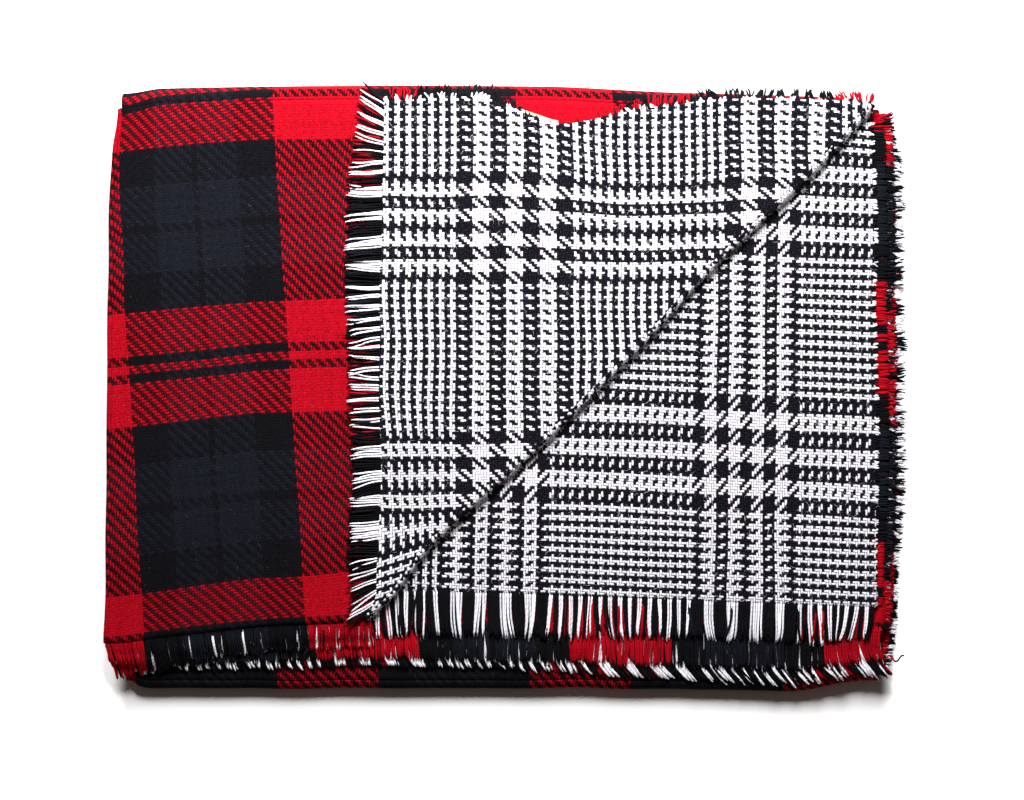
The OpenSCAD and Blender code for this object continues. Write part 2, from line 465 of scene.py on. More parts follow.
class Val:
    """A number in a material's node tree, so that formulas read as formulas."""

    def __init__(self, tree, socket):
        self.tree, self.socket = tree, socket

    def calc(self, op, *others):
        node = self.tree.nodes.new("ShaderNodeMath")
        node.operation = op
        for slot, value in zip(node.inputs, (self, *others)):
            feed(self.tree, slot, value)
        return Val(self.tree, node.outputs[0])

    __add__ = partialmethod(calc, "ADD")
    __sub__ = partialmethod(calc, "SUBTRACT")
    __mul__ = partialmethod(calc, "MULTIPLY")
    __truediv__ = partialmethod(calc, "DIVIDE")
    floor = partialmethod(calc, "FLOOR")
    mod = partialmethod(calc, "FLOORED_MODULO")
    less = partialmethod(calc, "LESS_THAN")

    def pick(self, low, high):
        """low where this is 0, high where it is 1."""
        return (high - low) * self + low if isinstance(high, Val) else self * (high - low) + low

    def ease(self, low, high):
        node = self.tree.nodes.new("ShaderNodeMapRange")
        node.interpolation_type = "SMOOTHSTEP"
        self.tree.links.new(self.socket, node.inputs[0])
        node.inputs[1].default_value, node.inputs[2].default_value = low, high
        return Val(self.tree, node.outputs[0])


class Paint:
    """A material with its Principled shader, and the few nodes used here."""

    def __init__(self, name, roughness=0.95, sheen=0.01):
        self.mat = bpy.data.materials.new(name)
        self.mat.use_nodes = True
        self.tree = self.mat.node_tree
        self.shader = next(n for n in self.tree.nodes if n.type == "BSDF_PRINCIPLED")
        for key, value in (("Roughness", roughness), ("Specular IOR Level", 0.03),
                           ("Sheen Weight", sheen), ("Sheen Roughness", 0.45)):
            self.put(self.shader.inputs[key], value)

    def new(self, kind, **inputs):
        node = self.tree.nodes.new("ShaderNode" + kind)
        for key, value in inputs.items():
            self.put(node.inputs[key.replace("_", " ")], value)
        return node

    def put(self, slot, value):
        feed(self.tree, slot, value)

    def first_two(self, vector):
        """X and Y of a vector."""
        split = self.new("SeparateXYZ", Vector=vector)
        return Val(self.tree, split.outputs[0]), Val(self.tree, split.outputs[1])

    def yarns(self):
        node = self.new("UVMap")
        node.uv_map = "yarn"
        return self.first_two(node.outputs[0])

    def vector(self, x, y, z=0.0):
        return self.new("CombineXYZ", X=x, Y=y, Z=z).outputs[0]

    def noise(self, vector, scale, detail=2.0):
        node = self.new("TexNoise", Vector=vector, Scale=scale, Detail=detail)
        return Val(self.tree, node.outputs[0])

    def cloud(self, u, v, plane=0.0, detail=2.0):
        """Noise over u and v; each plane gives another pattern."""
        return self.noise(self.vector(u, v, plane), 1.0, detail)

    def random(self, number):
        node = self.tree.nodes.new("ShaderNodeTexWhiteNoise")
        node.noise_dimensions = "1D"
        self.put(node.inputs["W"], number)
        return Val(self.tree, node.outputs[0])

    def red_of(self, colour):
        return Val(self.tree, self.new("SeparateColor", Color=colour).outputs[0])

    def mix(self, factor, a, b, kind="MIX"):
        node = self.tree.nodes.new("ShaderNodeMix")
        node.data_type, node.blend_type = "RGBA", kind
        self.put(node.inputs[0], factor)
        self.put(node.inputs[6], a)
        self.put(node.inputs[7], b)
        return node.outputs[2]

    def stripes(self, index, bands):
        """Constant bands of named colours over one repeat, as (colour, yarns)."""
        total = sum(n for _, n in bands)
        node = self.tree.nodes.new("ShaderNodeValToRGB")
        self.put(node.inputs[0], (index.mod(total) + 0.5) / total)
        ramp = node.color_ramp
        ramp.interpolation = "CONSTANT"
        at = 0
        for i, (colour, n) in enumerate(bands):
            stop = ramp.elements[0] if i == 0 else ramp.elements.new(at / total)
            stop.position = at / total
            stop.color = (*COLOURS[colour], 1)
            at += n
        ramp.elements.remove(ramp.elements[-1])
        return node.outputs[0]

    def scaled(self, colour, value):
        return self.mix(1.0, colour, self.vector(value, value, value), "MULTIPLY")

    def finish(self, colour, height=None, strength=0.6, distance=0.0006):
        self.put(self.shader.inputs["Base Color"], colour)
        if height is not None:
            bump = self.new("Bump", Strength=strength, Distance=distance, Height=height)
            self.put(self.shader.inputs["Normal"], bump.outputs[0])
        return self.mat


def check_white(index, total, wide, bar):
    """1 on white yarns and 0 on black: wide bars, then pairs, over one repeat."""
    at = index.mod(total)
    in_wide = (at / bar).floor().mod(2)
    in_pairs = ((at - wide) / 2).floor().mod(2) * -1.0 + 1.0
    return at.less(wide - 0.5).pick(in_pairs, in_wide)


def twill(paint, u, v, sign, hairy=0.5):
    """2/2 twill: over is 1 where the warp shows; height is the yarn's roundness."""
    wander_u = paint.cloud(u * 0.9, v * 0.9, 3.0) - 0.5
    wander_v = paint.cloud(u * 0.9, v * 0.9, 9.0) - 0.5
    fray_u = paint.cloud(u * 4.3, v * 4.3, 5.0) - 0.5
    fray_v = paint.cloud(u * 4.3, v * 4.3, 7.0) - 0.5
    u = u + wander_u * 0.5 + fray_u * hairy
    v = v + wander_v * 0.5 + fray_v * hairy
    i, j = u.floor(), v.floor()
    fu, fv = u - i, v - j
    q = (i + j * sign).mod(4)
    over = q.less(1.5)
    down = (q + fv) / 2 if sign > 0 else (q + 1.0 - fv) / 2
    warp = round_yarn(fu, down)
    weft = round_yarn(fv, (q - 2.0 + fu) / 2)
    return i, j, over, over.pick(weft, warp)


def round_yarn(across, along):
    a, b = across * 2.0 - 1.0, along * 2.0 - 1.0
    return (a * a * -0.95 + 1.0) * (b * b * b * b * -0.6 + 1.0)


def yarn_shade(paint, i, j, over, u, v):
    """Brightness of one yarn against the next, and of the fibres along it."""
    each = over.pick(paint.random(j * 1.37 + 0.5), paint.random(i * 1.73 + 0.25))
    fibre_warp = paint.cloud(u * 2.6, v * 0.7)
    fibre_weft = paint.cloud(u * 0.7, v * 2.6)
    fibre = over.pick(fibre_weft, fibre_warp)
    return each * 0.22 + fibre * 0.5 + 0.66


def tartan_material():
    paint = Paint("tartan_face")
    u, v = paint.yarns()
    i, j, over, height = twill(paint, u, v, -1, 0.6)
    warp, weft = paint.stripes(i, TARTAN_WARP), paint.stripes(j, TARTAN_WEFT)
    # here and there the yarn beneath shows through
    stray = paint.cloud(u * 1.6, v * 1.6, 5.0, 3.0)
    show_warp = over.pick(stray.ease(0.45, 0.95), stray.ease(0.95, 0.45) * -0.12 + 1.0)
    colour = paint.mix(show_warp, weft, warp)
    # where a red and a dark yarn cross, painted shade darkens the gaps between them
    unlike = (paint.red_of(warp) - paint.red_of(weft)).calc("ABSOLUTE") / COLOURS[RED][0]
    crossing_gap_shade = height.ease(0.75, 0.2)
    nap = paint.cloud(u * 0.8, v * 0.8, 2.0, 4.0)
    # painted shade: each yarn is darker towards its edges, in the gaps between yarns
    shade = yarn_shade(paint, i, j, over, u, v) * (height.ease(0.0, 0.6) * 0.34 + 0.66)
    shade = shade * (unlike * crossing_gap_shade * -0.85 + 1.0) * (nap * 0.7 + 0.65)
    colour = paint.scaled(colour, shade)
    fuzz = paint.cloud(u * 3.1, v * 3.1, 0.0, 3.0)
    return paint.finish(colour, height * 0.7 + fuzz * 0.6, 0.6, 0.0006)


def check_material():
    paint = Paint("check_face")
    u, v = paint.yarns()
    i, j, over, height = twill(paint, u, v, 1, 0.55)
    warp, weft = check_white(i, *CHECK_BARS[WARP]), check_white(j, *CHECK_BARS[WEFT])
    white = over.pick(weft, warp)
    # a haze of pale fibres lies on the dark yarns
    haze = paint.cloud(u * 1.3, v * 1.3, 4.0, 4.0).ease(0.4, 0.8)
    dark = paint.mix(haze, (0.0060, 0.0058, 0.0088, 1), (0.027, 0.025, 0.040, 1))
    colour = paint.mix(white, dark, (*COLOURS[WHITE], 1))
    # painted shade: each yarn is much darker towards its edges, in the gaps between yarns
    gap_shade = height.ease(0.02, 0.8)
    shade = (yarn_shade(paint, i, j, over, u, v) * 0.7 + 0.3) * (gap_shade * 0.93 + 0.07)
    colour = paint.scaled(colour, shade)
    # specks of the tartan behind show in some gaps between white yarns
    cell = paint.random(i * 0.731 + j * 7.13)
    red_zone = j.mod(CHECK_WEFT_N).less(52) * 0.5 + i.mod(100).less(40) * 0.5
    behind = paint.mix(red_zone, (0.03, 0.03, 0.05, 1), (0.36, 0.03, 0.11, 1))
    speck = cell.calc("GREATER_THAN", 0.6) * height.ease(0.34, 0.12) * white
    colour = paint.mix(speck * 0.7, colour, behind)
    fuzz = paint.cloud(u * 3.1, v * 3.1, 0.0, 3.0)
    return paint.finish(colour, height + fuzz * 0.5, 0.7, 0.0007)


def fringe_material():
    paint = Paint("fringe_yarn")
    node = paint.new("Attribute")
    node.attribute_name = "yarn_colour"
    u, v = paint.yarns()
    twist = ((u * 2.0 + v * 1.1) * (2 * math.pi)).calc("SINE") * 0.5 + 0.5
    grain = paint.noise(paint.new("NewGeometry").outputs[0], 900.0, 3.0)
    # painted shade along the grooves of the twist, with random fibre tone from the grain
    shade = twist * 0.25 + grain * 0.5 + 0.62
    return paint.finish(paint.scaled(node.outputs[0], shade), twist + grain * 0.6, 0.5, 0.0003)


def label_material():
    paint = Paint("care_label", 0.5, 0.1)
    u, v = paint.yarns()
    rib = (v * 2 * math.pi).calc("SINE") * 0.5 + 0.5
    grain = paint.cloud(u * 0.4, v * 3.0, 0.0, 3.0)
    colour = paint.mix(grain, (0.50, 0.38, 0.25, 1), (0.72, 0.60, 0.44, 1))
    # painted shade in the hollows between the tape's ribs
    return paint.finish(paint.scaled(colour, rib * 0.12 + 0.92), rib + grain, 0.3, 0.0002)


def thread_material():
    paint = Paint("label_thread", 0.6, 0.1)
    u, v = paint.yarns()
    twist = ((u * 2.0 + v * 2.0) * (2 * math.pi)).calc("SINE") * 0.5 + 0.5
    # painted shade: the thread is darker in the grooves of its twist
    colour = paint.mix(twist, (0.55, 0.50, 0.42, 1), (0.85, 0.82, 0.76, 1))
    return paint.finish(colour, twist, 0.4, 0.0001)


TARTAN, CHECK, FRINGE = tartan_material(), check_material(), fringe_material()
LABEL, THREAD = label_material(), thread_material()

# ------------------------------------------------------------- sheets of cloth
GRID, FINE_GRID = 4.5, 3.5  # mm between mesh points on a hidden and on a seen stretch


def steps(length, size=GRID):
    return max(4, int(round(length / size)) + 1)


def faces_up(k):
    """Top and bottom material and yarn maps of layer k, tartan up when odd."""
    if k == "flap" or k % 2 == 0:
        return (CHECK, TARTAN), (CHECK_AT[k], TARTAN_AT[k])
    return (TARTAN, CHECK), (TARTAN_AT[k], CHECK_AT[k])


def woven_end(k, x):
    """Y of layer k's woven end, a smooth line through its design points."""
    return soft_line(x, *WOVEN_END[k]) + 0.7 * EDGE[k](x, 0 * x)


def low_end(k, x):
    """Y where layer k ends towards the bottom, at one x."""
    return float(woven_end(k, np.array([x]))[0]) if k < 5 else BOTTOM_Y


def settle_layer(k, p):
    """Settles points of layer k, with the edge that it shares with its pair."""
    return settle(p, (k + 1) // 2)


def ruled(k, right_low, right_high, low_fn, size=GRID):
    """Layer k as a grid from the left to a straight right side, above a curved lower end."""
    ns = steps(max(right_low, right_high) - LEFT_X, size)
    nt = steps(TOP_Y - low_fn(np.array([LEFT_X]))[0], size)
    s, t = np.meshgrid(np.linspace(0, 1, ns), np.linspace(0, 1, nt), indexing="ij")
    low = low_fn(LEFT_X + s * (right_low - LEFT_X))
    x = LEFT_X + s * (right_low + t * (right_high - right_low) - LEFT_X)
    return np.stack([x, low + t * (TOP_Y - low), np.full_like(x, MID_Z[k])], -1)


def crease_x(y):
    return FOOT[0] + (y - FOOT[1]) * ALONG[0] / ALONG[1]


def layer_grid(k):
    if k > 4:
        return ruled(k, RAW_X[k], RAW_X[k], lambda x: 0 * x + BOTTOM_Y)
    low, size = (lambda x: woven_end(k, x)), GRID if k > 2 else FINE_GRID
    if k > 1:
        return ruled(k, RAW_X[k], RAW_X[k], low, size)
    inset = CREASE_R / ALONG[1]
    return ruled(k, crease_x(low_end(k, FOOT[0])) - inset, crease_x(TOP_Y) - inset, low, size)


def add_layer(k):
    grid = layer_grid(k)
    mats, maps = faces_up(k)
    uvs = [yarn_uv(fn, grid) for fn in maps]
    if k == 1:
        grid = bow(grid)
    elif k < 5:  # the cloth's own raw edge wavers a little
        edge = smooth((grid[..., 0] - RAW_X[k] + 30) / 30)
        grid[..., 0] += 0.8 * EDGE[k](0 * grid[..., 1], grid[..., 1]) * edge
    obj = sheet_mesh(f"layer_{k}_cloth", settle_layer(k, grid), *uvs, mats)
    return place(obj, half_of(k), f"layer_{k}")


def bend_arc(upper, lower):
    """Middle height and radius of the bend that joins two layers."""
    return (MID_Z[upper] + MID_Z[lower]) / 2, (MID_Z[upper] - MID_Z[lower]) / 2


def across_bend(k, lower, rings):
    """X and turn of points on a bend that runs from the left to the nearer selvedge."""
    right = min(RAW_X[k], RAW_X[lower])
    return np.meshgrid(np.linspace(LEFT_X, right, steps(right - LEFT_X, 4)),
                       np.linspace(0, math.pi, rings), indexing="ij")


def bend_uvs(k, x, flat_y):
    """Yarn maps of a bend, from where its points lie once the cloth is flat."""
    flat = np.stack([x, flat_y], -1)
    mats, maps = faces_up(k)
    return mats, [yarn_uv(fn, flat) for fn in maps]


def add_left_fold(k):
    """Bend down the left side, from layer k + 1 round to layer k above it."""
    low = low_end(k, LEFT_X)
    zc, r = bend_arc(k, k + 1)
    a, y = np.meshgrid(np.linspace(math.pi, 0, 9), np.linspace(low, TOP_Y, steps(TOP_Y - low, 4)),
                       indexing="ij")
    bulge = 1 + 0.25 * (1 + EDGE[(k + 3) % 9](y, 0 * y))
    grid = np.stack([LEFT_X - r * np.sin(a) * bulge, y, zc + r * np.cos(a)], -1)
    flat = np.stack([LEFT_X - (a / math.pi) * FOLD_ARC, y], -1)
    uvs = [yarn_uv(TARTAN_AT[k], flat), yarn_uv(CHECK_AT[k], flat)]
    obj = sheet_mesh(f"left_bend_{k}_{k + 1}", settle_layer(k, grid), *uvs, (TARTAN, CHECK))
    return place(obj, half_of(k), f"left_fold_{k}_{k + 1}")


def add_bottom_fold(k):
    """Bend along the bottom that joins layer 13 - k round to layer k above it."""
    lower = 13 - k
    zc, r = bend_arc(k, lower)
    x, a = across_bend(k, lower, 13)
    grid = np.stack([x, BOTTOM_Y - r * np.sin(a), zc - r * np.cos(a)], -1)
    mats, uvs = bend_uvs(k, x, BOTTOM_Y - (math.pi - a) * r)
    obj = sheet_mesh(f"bottom_bend_{k}_{lower}", settle(grid, 3), *uvs, mats)
    return place(obj, "lower_half", f"bottom_fold_{k}_{lower}")


def add_top_fold(k):
    """Bend along the top from layer k over to layer 9 - k."""
    lower = 9 - k
    zc, r = bend_arc(k, lower)
    x, a = across_bend(k, lower, 29 - 4 * k)
    grid = settle(np.stack([x, TOP_Y + r * np.sin(a), zc + r * np.cos(a)], -1))
    opened = 2 * np.maximum(TOP_Y - grid[:, :1, 1], 0)
    mats, uvs = bend_uvs(k, x, TOP_Y + a / math.pi * np.maximum(math.pi * r, opened))
    obj = sheet_mesh(f"top_bend_{k}_{lower}", grid, *uvs, mats)
    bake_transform(obj)
    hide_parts(f"top_fold_{k}_{lower}")
    return obj


def add_flap():
    nt = steps(CREASE_L, FINE_GRID)
    ns = steps(FLAP_BOX[1][0] - FLAP_BOX[0][0], FINE_GRID)
    s, t = np.meshgrid(np.linspace(0, 1, ns), np.linspace(0.012, 1, nt), indexing="ij")
    left = FOOT + t[..., None] * (FLAP_CORNER - FOOT)
    top_right = np.array([crease_x(FLAP_TOP_Y), FLAP_TOP_Y])
    right = FOOT + t[..., None] * (top_right - FOOT) + ACROSS * CREASE_R
    xy = left + s[..., None] * (right - left)
    grid = cut(bow(np.concatenate([xy, np.full((*s.shape, 1), FLAP_Z)], -1)))
    grid[..., 2] += PUFF * smooth(1 - crease_gap(grid) / 26)
    mats, maps = faces_up("flap")
    uvs = [yarn_uv(fn, grid) for fn in maps]
    obj = sheet_mesh("corner_flap_cloth", settle(sag(grid)), *uvs, mats)
    return place(obj, "corner", "corner_flap")


def crease_ends():
    """Where the crease roll follows layer 1, and where it follows the flap."""
    mid = np.append((FOOT + HEAD) / 2, CREASE_Z)
    low, high = mid.copy(), mid.copy()
    low[2], high[2] = MID_Z[1], FLAP_Z
    return tuple(low * MM), tuple(high * MM)


PUFF = 0.7  # mm the cloth stands up along the crease


def beside_crease(d, off):
    """X and Y of points d along the crease and off to its upper left."""
    return FOOT + d[..., None] * ALONG + off[..., None] * ACROSS


def crease_gap(p):
    """Distance from the bowed crease line to points of the flap."""
    rel = p[..., :2] - FOOT
    return np.maximum(rel @ ACROSS - smooth_bow(rel @ ALONG) - CREASE_R, 0)


def add_crease():
    """Roll of cloth from layer 1 round the crease and up onto the flap."""
    n = steps(CREASE_L, 3.0)
    r = (FLAP_Z - MID_Z[1]) / 2
    d, a = np.meshgrid(np.linspace(-2, CREASE_L + 4, n), np.linspace(0, math.pi, 13), indexing="ij")
    puff = 1.55 + 0.3 * LOFT(d * 2, 0 * d)
    xy = beside_crease(d, CREASE_R - r * np.sin(a) * puff)
    z = CREASE_Z - r * np.cos(a) + PUFF * smooth(a / math.pi)
    grid = bow(np.concatenate([xy, z[..., None]], -1))
    flat = bow(beside_crease(d, -(CREASE_R + 3) * np.cos(a)))
    uvs = [yarn_uv(CHECK_AT["flap"], flat), yarn_uv(TARTAN_AT["flap"], flat)]
    obj = sheet_mesh("crease_roll_cloth", settle(dip(grid)), *uvs, (CHECK, TARTAN))
    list(crease_ends())
    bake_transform(obj)
    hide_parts("crease_roll")
    return obj


# ------------------------------------------------------------------- yarns
def band_colour(index, bands):
    total = sum(n for _, n in bands)
    ends = np.cumsum([n for _, n in bands])
    which = np.searchsorted(ends, np.mod(np.floor(index), total), side="right")
    table = np.array([COLOURS[c] for c, _ in bands])
    return table[np.clip(which, 0, len(bands) - 1)]


def check_bars(index, total, wide, bar):
    """Whether each yarn is white, and the number of its bar."""
    at = np.mod(np.floor(index), total)
    in_wide = at < wide
    number = np.where(in_wide, at // bar, 100 + (at - wide) // 2)
    white = np.where(in_wide, (at // bar) % 2 == 1, ((at - wide) // 2) % 2 == 0)
    turn = np.floor(index) // total
    return white, number + 1000 * turn


def check_colour(index, total, wide, bar):
    white, _ = check_bars(index, total, wide, bar)
    return np.where(white[:, None], COLOURS[WHITE], COLOURS[BLACK])


def yarn_colour(k, x, y, face, way):
    """Colour of the WARP or WEFT yarn that passes x and y in one face of layer k."""
    if face == "tartan":
        return band_colour(TARTAN_AT[k](x, y)[way], TARTAN_BANDS[way])
    return check_colour(CHECK_AT[k](x, y)[way], *CHECK_BARS[way])


def groups(rng, n, low, high):
    """Splits n neighbours into runs of low to high, as a label for each."""
    sizes = rng.integers(low, high + 1, n)
    return np.repeat(np.arange(n), sizes)[:n]


def strands(rng, base, heading, length, labels, lean=0.06, curl=0.06, gather=0.2,
            rings=9, lift=0.4, trend=0.0, drop=0.0, split=0.3):
    """Paths of loose yarn ends: neighbours with one label lean, curl and gather as one."""
    n = len(base)
    t = np.linspace(0, 1, rings)
    side = np.cross(heading, (0, 0, 1.0))
    along_edge = (base * side).sum(1)
    count = labels.max() + 1
    members = np.maximum(np.bincount(labels, minlength=count), 1)
    centre = np.bincount(labels, along_edge, count) / members
    pull = (centre[labels] - along_edge) * gather * rng.uniform(0.5, 1.3, n)
    own = lambda scale: rng.normal(0, scale, n)
    shared = lambda scale: rng.normal(0, scale, count)[labels]
    tilt = (shared(lean) + own(lean * split)) * length
    bend = (shared(curl) + own(curl * split) + trend) * length
    phase = rng.uniform(0, 1, count)[labels][:, None]
    wig = (0.5 + own(0.15))[:, None] * np.sin(2 * math.pi * (t * 0.9 + phase))
    wig -= wig[:, :1]
    lateral = (pull[:, None] * smooth(t * 1.6) + tilt[:, None] * t + bend[:, None] * t**2
               + wig * t)
    reach = length * (1 + own(0.035) + shared(0.03))
    rise = (shared(lift) + own(lift))[:, None] * np.sin(math.pi * t * 0.9)
    rise = rise - drop * smooth(t * 1.1)
    return (base[:, None] + heading[:, None] * (reach[:, None] * t)[..., None]
            + side[:, None] * lateral[..., None] + np.array([0, 0, 1.0]) * rise[..., None])


def taper(rng, n, rings, radius):
    t = np.linspace(0, 1, rings)
    body = 1 - 0.08 * t - 0.45 * smooth((t - 0.86) / 0.14)
    return radius * rng.uniform(0.88, 1.1, n)[:, None] * body


def tint(rng, colour, spread=0.16):
    return colour * rng.uniform(1 - spread, 1 + spread, len(colour))[:, None]


class Fringe:
    """The yarns of one fringe, gathered row by row into one piece."""

    def __init__(self, rng):
        self.rng, self.rows = rng, []

    def add(self, paths, radius, paint, thin=1.0):
        body = taper(self.rng, len(paths), paths.shape[1], radius) * thin
        self.rows.append((paths, body, tint(self.rng, paint)))

    def piece(self, name, body, node, sides=5):
        paths, radii, colours = (np.concatenate(part) for part in zip(*self.rows))
        obj = tube_mesh(name, paths, radii, colours, FRINGE, sides)
        return place(obj, body, node)


# Where fringe lengths are read along X, and each upper layer's length there, in mm
FRINGE_X = (-320, -230, FOOT[0], 0, 80, 161, 310)
FRINGE_LENGTH = {1: (37, 26, 23, 23, 23, 23, 23), 2: (27, 28, 39, 37, 35.5, 32, 34),
                 3: (22, 22, 25, 28, 31, 33, 37.5), 4: (20, 20, 15, 19, 25, 29, 33.5)}
POP = {1: 0.05, 2: 0.04, 3: 0.0, 4: 0.0}  # share of the lower row that comes up
# How far neighbours of a face's row draw together
GATHER = {("tartan", 1): 0.02, ("tartan", 3): 0.0, ("check", 2): 0.07}
SWAY = Wave(31, 42)
ROW = 1.05  # mm from what a fringe lies on to the middle of its lower row of yarns


def fringe_length(k, x):
    return np.interp(x, FRINGE_X, FRINGE_LENGTH[k])


def pile_top(k, x, y):
    """Height of what layer k's fringe lies on, at x and y."""
    z = np.full_like(x, BOX[5][1][2] + 0.2)
    for j in range(4, k, -1):
        end = woven_end(j, x)
        cloth = smooth((y - end + 7) / 9)
        yarns = smooth((y - end + fringe_length(j, x) + 2) / 9) * (1 - cloth)
        z += (MID_Z[1] - MID_Z[2]) * cloth + 2.3 * yarns
    return z - 0.11 * np.clip(BOTTOM_Y - y, 0, 7) ** 2


def bar_labels(index):
    """Neighbouring yarns of one bar of the check share a label."""
    _, bar = check_bars(index, *CHECK_BARS[WARP])
    return np.concatenate([[0], np.cumsum(np.diff(bar) != 0)]).astype(int)


def end_fringe(k):
    """The warp ends of an upper layer: one row from each cloth of the double weave."""
    rng = np.random.default_rng(100 + k)
    right = FOOT[0] - 1.5 if k == 1 else RAW_X[k] - 0.5
    fringe = Fringe(rng)
    for face in ("tartan", "check"):
        x = np.arange(LEFT_X - 1.0, right, WARP_PITCH * 0.97)
        x = x + rng.normal(0, 0.15, len(x))
        y = woven_end(k, x)
        top_face = (face == "tartan") == (k % 2 == 1)
        base = np.stack([x, y + 1.4, np.zeros_like(x)], -1)
        slope = np.gradient(y, x)
        heading = unit(np.stack([slope * 0.6, -np.ones_like(x), 0 * x], -1))
        if face == "check":
            labels = bar_labels(CHECK_AT[k](x, y)[0])
        else:
            labels = groups(rng, len(x), 2, 5)
        length = fringe_length(k, x) * (1.0 if top_face else 0.96)
        trend = {2: 0.02 + 0.16 * SWAY(x, 0 * x), 3: 0.22 * smooth((x - 215) / 80),
                 4: 0.25 + 0.25 * smooth(x / 120)}.get(k, 0.02)
        loose = 0.02 if k < 4 and top_face else 0.045
        path = strands(rng, base, heading, length, labels, gather=GATHER.get((face, k), 0.08),
                       trend=-trend, lean=loose, curl=loose * 1.2, lift=0.15,
                       split=0.7 if k == 2 else 0.3)
        pop = (rng.random(len(x)) < POP[k]) & (not top_face)
        row = ROW + (1.5 if top_face else 0.0) + 2.2 * pop
        t = np.linspace(0, 1, path.shape[1])
        ease_in = np.where(pop[:, None], smooth(t * 2.5), 1)
        path[..., 2] += pile_top(k, path[..., 0], path[..., 1]) + ROW
        path[..., 2] += (row[:, None] - ROW) * ease_in
        paint = yarn_colour(k, x, y, face, WARP)
        pale = (paint[:, 0] > 0.5) & (k == 2)
        fringe.add(settle_layer(k, path), 1.16, paint, np.where(pale, 0.76, 1.0)[:, None])
    return fringe.piece(f"end_fringe_{k}_yarns", "upper_half", f"end_fringe_{k}")


# Frayed ends of a layer's face that differ from the usual 10 mm
SIDE_LENGTH = {(2, "check"): 5.0, (2, "tartan"): 13.0, (3, "tartan"): 12.0,
               (7, "check"): 16.5, (5, "check"): 16.0}


def side_fringe(k):
    """The short frayed weft ends along a raw selvedge on the right."""
    rng = np.random.default_rng(200 + k)
    low = low_end(k, RAW_X[k])
    fringe = Fringe(rng)
    for face in ("tartan", "check"):
        neat = (k, face) == (2, "tartan")
        y = np.arange(low + 1, TOP_Y - 0.5, WEFT_PITCH / (1.5 if neat else 1.25))
        y = y + rng.normal(0, 0.2 if neat else 0.3, len(y))
        x = np.full_like(y, RAW_X[k])
        top_face = (face == "tartan") == (k % 2 == 1)
        base = np.stack([x - 1.2, y, MID_Z[k] + (0.7 if top_face else -0.7) + 0 * y], -1)
        base[:, 0] += 0.8 * EDGE[k](0 * y, y) if 1 < k < 5 else 0
        heading = np.tile((1.0, 0.0, 0.0), (len(y), 1))
        heading[:, 1] = 0.25 * smooth((y - TOP_Y + 16) / 16)
        labels = groups(rng, len(y), 1, 4)
        length = SIDE_LENGTH.get((k, face), 10.0) * rng.uniform(0.96 if neat else 0.8, 1.04, len(y))
        if k in (5, 7):
            length *= 1 - 0.45 * smooth((y - TOP_Y + 45) / 40)
        length *= 1 - 0.45 * smooth((-60 - y) / 120)
        loose = 0.03 if neat else 0.10
        path = strands(rng, base, heading, length, labels, lean=loose, curl=loose, rings=6,
                       lift=0.1 if neat else 0.25, drop=0.5)
        paint = yarn_colour(k, x, y, face, WEFT)
        fringe.add(settle_layer(k, path), 1.0 if neat else 0.9, paint)
    return fringe.piece(f"side_fringe_{k}_yarns", half_of(k), f"side_fringe_{k}", 4)


def flap_end_fringe():
    rng = np.random.default_rng(301)
    span = FLAP_CORNER - FOOT
    total = float(np.linalg.norm(span))
    fringe = Fringe(rng)
    for face in ("check", "tartan"):
        d = np.arange(7.0, total, WARP_PITCH)
        d = d + rng.normal(0, 0.15, len(d))
        xy = FOOT + (d / total)[:, None] * span
        top_face = face == "check"
        base = np.column_stack([xy[:, 0] + 1.2, xy[:, 1],
                                np.full(len(d), FLAP_Z + (0.75 if top_face else -0.6))])
        paint = yarn_colour("flap", xy[:, 0], xy[:, 1], face, WARP)
        heading = np.tile((-1.0, 0.0, 0.0), (len(d), 1))
        heading[:, 1] = -0.05 - 0.75 * smooth(1 - d / 60) + 0.7 * smooth((d / total - 0.86) / 0.14)
        heading = unit(heading)
        labels = (bar_labels(check_flap(xy[:, 0], xy[:, 1])[0]) if top_face
                  else groups(rng, len(d), 1, 3))
        length = FLAP_FRINGE_L * (0.84 + 0.14 * hump(xy[:, 1], 130, 180, 110))
        lean, drop, radius = (0.05, 0.7, 0.84) if top_face else (0.08, 0.5, 0.95)
        path = strands(rng, settle(dip(bow(base))), heading, length, labels, drop=drop,
                       gather=0.04, lean=lean, lift=0.3, split=0.6)
        fringe.add(path, radius, paint)
    return fringe.piece("flap_end_fringe_yarns", "corner", "flap_end_fringe")


def flap_side_fringe():
    rng = np.random.default_rng(302)
    left = FLAP_CORNER[0]
    fringe = Fringe(rng)
    for face in ("check", "tartan"):
        x = np.arange(left, HEAD[0] + 1, WEFT_PITCH / 1.4)
        x = x + rng.normal(0, 0.35, len(x))
        y = np.full_like(x, FLAP_TOP_Y)
        top_face = face == "check"
        base = np.column_stack([x, y - 1.2, np.full(len(x), FLAP_Z + (0.7 if top_face else -0.6))])
        paint = yarn_colour("flap", x, y, face, WEFT)
        heading = np.tile((0.0, 1.0, 0.0), (len(x), 1))
        labels = groups(rng, len(x), 1, 3)
        length = rng.uniform(0.8, 1.1, len(x)) * (12.0 + 1.5 * smooth(1 - (x - left) / 70))
        length *= (0.45 if top_face else 1.0) * (1 - 0.7 * hump(x, 40, 55, 70))
        path = strands(rng, settle(dip(bow(base))), heading, length, labels, drop=0.8,
                       lean=0.2, curl=0.2, rings=6, lift=0.25)
        fringe.add(path, 0.85, paint)
    return fringe.piece("flap_side_fringe_yarns", "corner", "flap_side_fringe", 4)


